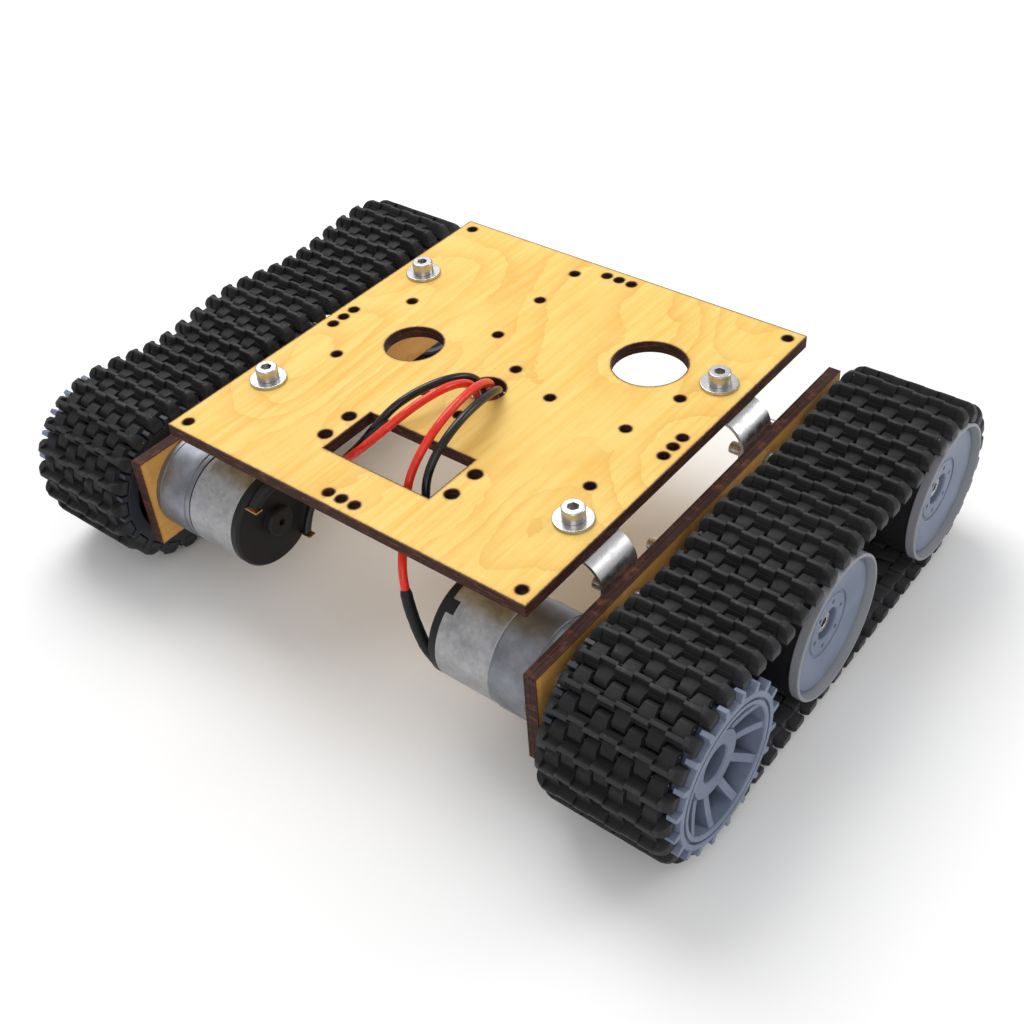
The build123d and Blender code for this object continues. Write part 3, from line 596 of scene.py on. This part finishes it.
def centreline(wire):
    """Points of the wire's own smooth line, from the terminal to the bare end."""
    bare = wire.data.copy()
    bare.bevel_depth = 0
    bare.use_fill_caps = False
    line = bpy.data.objects.new("line", bare)
    mesh = bpy.data.meshes.new_from_object(line)
    points = [vertex.co.copy() for vertex in mesh.vertices]
    bpy.data.objects.remove(line)
    bpy.data.meshes.remove(mesh)
    return points


def tube_rings(grid, points, radii, sides):
    """Rings of vertices round a line of points, joined into a closed tube."""
    rings = []
    side_way = Vector((0, 0, 1)).cross(points[1] - points[0])
    if side_way.length < 1e-9:
        side_way = Vector((1, 0, 0))
    for index, point in enumerate(points):
        ahead = points[min(index + 1, len(points) - 1)] - points[max(index - 1, 0)]
        side_way = (side_way - side_way.project(ahead)).normalized()
        other = ahead.normalized().cross(side_way)
        ring = []
        for step in range(sides):
            angle = tau * step / sides
            radius = radii[index]
            ring.append(grid.verts.new(point + radius * (cos(angle) * side_way + sin(angle) * other)))
        rings.append(ring)
    for first, second in zip(rings, rings[1:]):
        for step in range(sides):
            after = (step + 1) % sides
            grid.faces.new((first[step], first[after], second[after], second[step]))
    grid.faces.new(list(reversed(rings[0])))
    grid.faces.new(rings[-1])


def piece_from(grid, name, finish, body):
    """Turns a bmesh into a shown piece that rides on a body."""
    bmesh.ops.recalc_face_normals(grid, faces=grid.faces)
    data = bpy.data.meshes.new(name)
    grid.to_mesh(data)
    grid.free()
    data.materials.append(finish)
    shade_smooth(data)
    data.set_sharp_from_angle(angle=radians(38))
    piece = bpy.data.objects.new(name, data)
    bpy.context.scene.collection.objects.link(piece)
    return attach(piece, body)


def stranded_end(name, start, direction):
    """Twisted tinned strands that stand out of a wire's cut insulation."""
    grid = bmesh.new()
    across = direction.orthogonal().normalized()
    other = direction.cross(across)
    strand_r, strands, turns, steps = 0.2 * MM, 6, 0.8, 14
    for strand in range(strands + 1):
        ring_r = 0 if strand == strands else 2.05 * strand_r
        line = []
        for step in range(steps + 1):
            share = step / steps
            angle = tau * (strand / strands + turns * share)
            reach = BARE_LENGTH * share * (1 - 0.04 * (strand % 3))
            line.append(start + direction * reach + ring_r * (cos(angle) * across + sin(angle) * other))
        tube_rings(grid, line, [strand_r] * (steps + 1), 8)
    return piece_from(grid, name, MATERIALS["tinned_copper"], "root")


def sleeve_over(name, line, length):
    """Heat-shrunk sleeve: snug on the wire, with a soft lip and faint wrinkles."""
    grid = bmesh.new()
    covered, gone = [], 0.0
    for first, second in zip(line, line[1:]):
        if gone > length:
            break
        covered.append(first)
        gone += (second - first).length
    radii = []
    for index, _ in enumerate(covered):
        share = index / (len(covered) - 1)
        wrinkle = 0.05 * MM * sin(37 * share) * sin(11 * share + 1)
        lip = 0.35 * MM * max(0.0, share - 0.94) / 0.06
        radii.append(SLEEVE_RADIUS - 0.08 * MM - lip + wrinkle)
    tube_rings(grid, covered, radii, 24)
    return piece_from(grid, f"sleeve_{name}", MATERIALS["black_plastic"], "root")


for name, route in WIRE_ROUTES.items():
    colour = name.split("_")[0]
    wire = wire_curve(f"wire_{name}", route)
    wire.data.materials.append(MATERIALS[f"{colour}_silicone"])
    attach(wire, "root")
    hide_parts(f"motor_wire_{name}")
    line = centreline(wire)
    bare_end = stranded_end(f"strands_{name}", line[-1], (line[-1] - line[-2]).normalized())
    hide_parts("wire_bare_ends")
    if name in SLEEVE_LENGTHS:
        sleeve = sleeve_over(name, line, SLEEVE_LENGTHS[name])
        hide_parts("wire_sleeves")


# ---- tracks ----
LINK_PITCH = 7.5123 * MM
STRIP = 5.0 * MM
BODY_HALF = 3.5 * STRIP
RIDGE_TOP = 4.75 * MM
WEB_LOW, WEB_TOP = -1.5 * MM, 2.4 * MM
KNUCKLE_R, KNUCKLE_TOP = 1.55 * MM, 2.3 * MM
LUG_LENGTH, LUG_TIP = 3.1 * MM, 1.3 * MM
PIN_REACH = 2 * MM          # a CAD vertex this near a pin's first one belongs to the same pin
OVER_WHEELS = 50 * MM       # the pins above this height are those that pass over a wheel


def prism(grid, outline, x_from, x_to):
    """Closed bar along x with an outline in (u, h)."""
    near = [grid.verts.new((x_from, u, h)) for u, h in outline]
    far = [grid.verts.new((x_to, u, h)) for u, h in outline]
    grid.faces.new(near)
    grid.faces.new(list(reversed(far)))
    for index in range(len(outline)):
        after = (index + 1) % len(outline)
        grid.faces.new((near[index], far[index], far[after], near[after]))


def knuckle_strip(grid, middle, reach):
    """Finger that reaches from the spine to a pin, tapered and rounded at its nose."""
    steps, wide, narrow = 8, 2.4 * MM, 2.0 * MM
    pin_u = reach * LINK_PITCH / 2
    outline = [(0.0, WEB_LOW)]
    for step in range(steps + 1):
        angle = -pi / 2 + pi * step / steps
        height = KNUCKLE_TOP if angle > 0 else KNUCKLE_R
        outline.append((pin_u + reach * KNUCKLE_R * cos(angle), height * sin(angle)))
    outline.append((reach * 1.2 * MM, WEB_TOP + 0.1 * MM))
    outline.append((0.0, WEB_TOP + 0.3 * MM))
    sides = []
    for end in (-1, 1):
        sides.append([
            grid.verts.new((middle + end * (wide if abs(u) < 1.7 * MM else narrow), u, h)) for u, h in outline
        ])
    for loop in sides:
        grid.faces.new(loop)
    for index in range(len(outline)):
        after = (index + 1) % len(outline)
        grid.faces.new((sides[0][index], sides[1][index], sides[1][after], sides[0][after]))


def lug(grid, end):
    """Round-shouldered end of the ridge, lofted through sections that sink towards its tip."""
    sections = []
    for step in range(9):
        angle = pi / 2 * step / 8
        out, sunk = LUG_LENGTH * sin(angle), (RIDGE_TOP - LUG_TIP) * (1 - cos(angle))
        top = RIDGE_TOP - 0.15 * MM - sunk
        half_top = 1.0 * MM + 0.32 * sunk
        outline = [
            (-2.1 * MM, -0.7 * MM), (2.1 * MM, -0.7 * MM), (2.2 * MM, min(1.8 * MM, top - 0.25 * MM)),
            (half_top, top), (-half_top, top), (-2.2 * MM, min(1.8 * MM, top - 0.25 * MM)),
        ]
        x = end * (BODY_HALF - 0.2 * MM + out)
        sections.append([grid.verts.new((x, u, h)) for u, h in outline])
    grid.faces.new(sections[0])
    grid.faces.new(sections[-1])
    for near, far in zip(sections, sections[1:]):
        for index in range(6):
            after = (index + 1) % 6
            grid.faces.new((near[index], far[index], far[after], near[after]))


def link_mesh():
    """One moulded link: spine, fingers, thin dashed ridge and round-shouldered lugs."""
    grid = bmesh.new()
    spine = [(-1.75 * MM, WEB_LOW), (1.75 * MM, WEB_LOW), (1.75 * MM, WEB_TOP), (-1.75 * MM, WEB_TOP)]
    prism(grid, spine, -BODY_HALF, BODY_HALF)
    for strip in range(7):
        knuckle_strip(grid, (strip - 3) * STRIP, -1 if strip % 2 else 1)
    for dash in range(7):
        step = 0.4 * MM if dash % 2 else -0.4 * MM
        ridge = [
            (step - 1.3 * MM, WEB_TOP - 0.3 * MM), (step + 1.3 * MM, WEB_TOP - 0.3 * MM),
            (step + 0.75 * MM, 3.5 * MM), (step + 0.55 * MM, RIDGE_TOP),
            (step - 0.55 * MM, RIDGE_TOP), (step - 0.75 * MM, 3.5 * MM),
        ]
        start = (dash - 3.5) * STRIP
        prism(grid, ridge, start, start + STRIP)
    for end in (-1, 1):
        lug(grid, end)
    bmesh.ops.recalc_face_normals(grid, faces=grid.faces)
    data = bpy.data.meshes.new("link")
    grid.to_mesh(data)
    grid.free()
    link = bpy.data.objects.new("link", data)
    bpy.context.scene.collection.objects.link(link)
    rounding = link.modifiers.new("rounding", "BEVEL")
    rounding.width = 0.22 * MM
    rounding.segments = 2
    rounding.limit_method = "ANGLE"
    rounding.angle_limit = radians(40)
    bpy.context.view_layer.update()
    shaped = link.evaluated_get(bpy.context.evaluated_depsgraph_get())
    result = bpy.data.meshes.new_from_object(shaped)
    rise = result.attributes.new("rise", "FLOAT", "POINT")
    rise.data.foreach_set("value", [vertex.co.z / RIDGE_TOP for vertex in result.vertices])
    bpy.data.objects.remove(link)
    return result


def pins_in_order(node):
    """Pin centres (y, z) round one track, read from the CAD pins, starting along the top run."""
    pins = []
    for vertex in frame["nodes"][node].data.vertices:
        spot = Vector(vertex.co[1:])
        home = next((pin for pin in pins if (pin[0] - spot).length < PIN_REACH), None)
        if home is None:
            pins.append([spot])
        else:
            home.append(spot)
    left = []
    for pin in pins:
        lowest = Vector((min(spot[0] for spot in pin), min(spot[1] for spot in pin)))
        highest = Vector((max(spot[0] for spot in pin), max(spot[1] for spot in pin)))
        left.append((lowest + highest) / 2)
    top = [pin for pin in left if pin[1] > OVER_WHEELS]
    here = min(top, key=lambda pin: pin[0])
    there = min((pin for pin in top if pin is not here), key=lambda pin: pin[0])
    ordered = [here, there]
    left = [pin for pin in left if pin is not here and pin is not there]
    while left:
        nearest = min(left, key=lambda pin: (pin - ordered[-1]).length)
        ordered.append(nearest)
        left = [pin for pin in left if pin is not nearest]
    return ordered


def lay_track(side, link):
    """All links of one track as one piece, each hung between its two pins."""
    pins = pins_in_order(f"track_pins_{side}")
    lowest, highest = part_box(f"track_links_{side}")
    middle_x = (lowest[0] + highest[0]) / 2
    grid = bmesh.new()
    for here, there in zip(pins, pins[1:] + pins[:1]):
        across = Vector((1, 0, 0))
        along = Vector((0, there[0] - here[0], there[1] - here[1])).normalized()
        middle = Vector((middle_x, (here[0] + there[0]) / 2, (here[1] + there[1]) / 2))
        turn = Matrix((across, along, across.cross(along))).transposed().to_4x4()
        placed = link.copy()
        placed.transform(Matrix.Translation(middle) @ turn)
        grid.from_mesh(placed)
        bpy.data.meshes.remove(placed)
    piece = piece_from(grid, f"track_{side}", MATERIALS["track_plastic"], "root")
    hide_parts(f"track_links_{side}")


one_link = link_mesh()
for side in SIDES:
    lay_track(side, one_link)
bpy.data.meshes.remove(one_link)
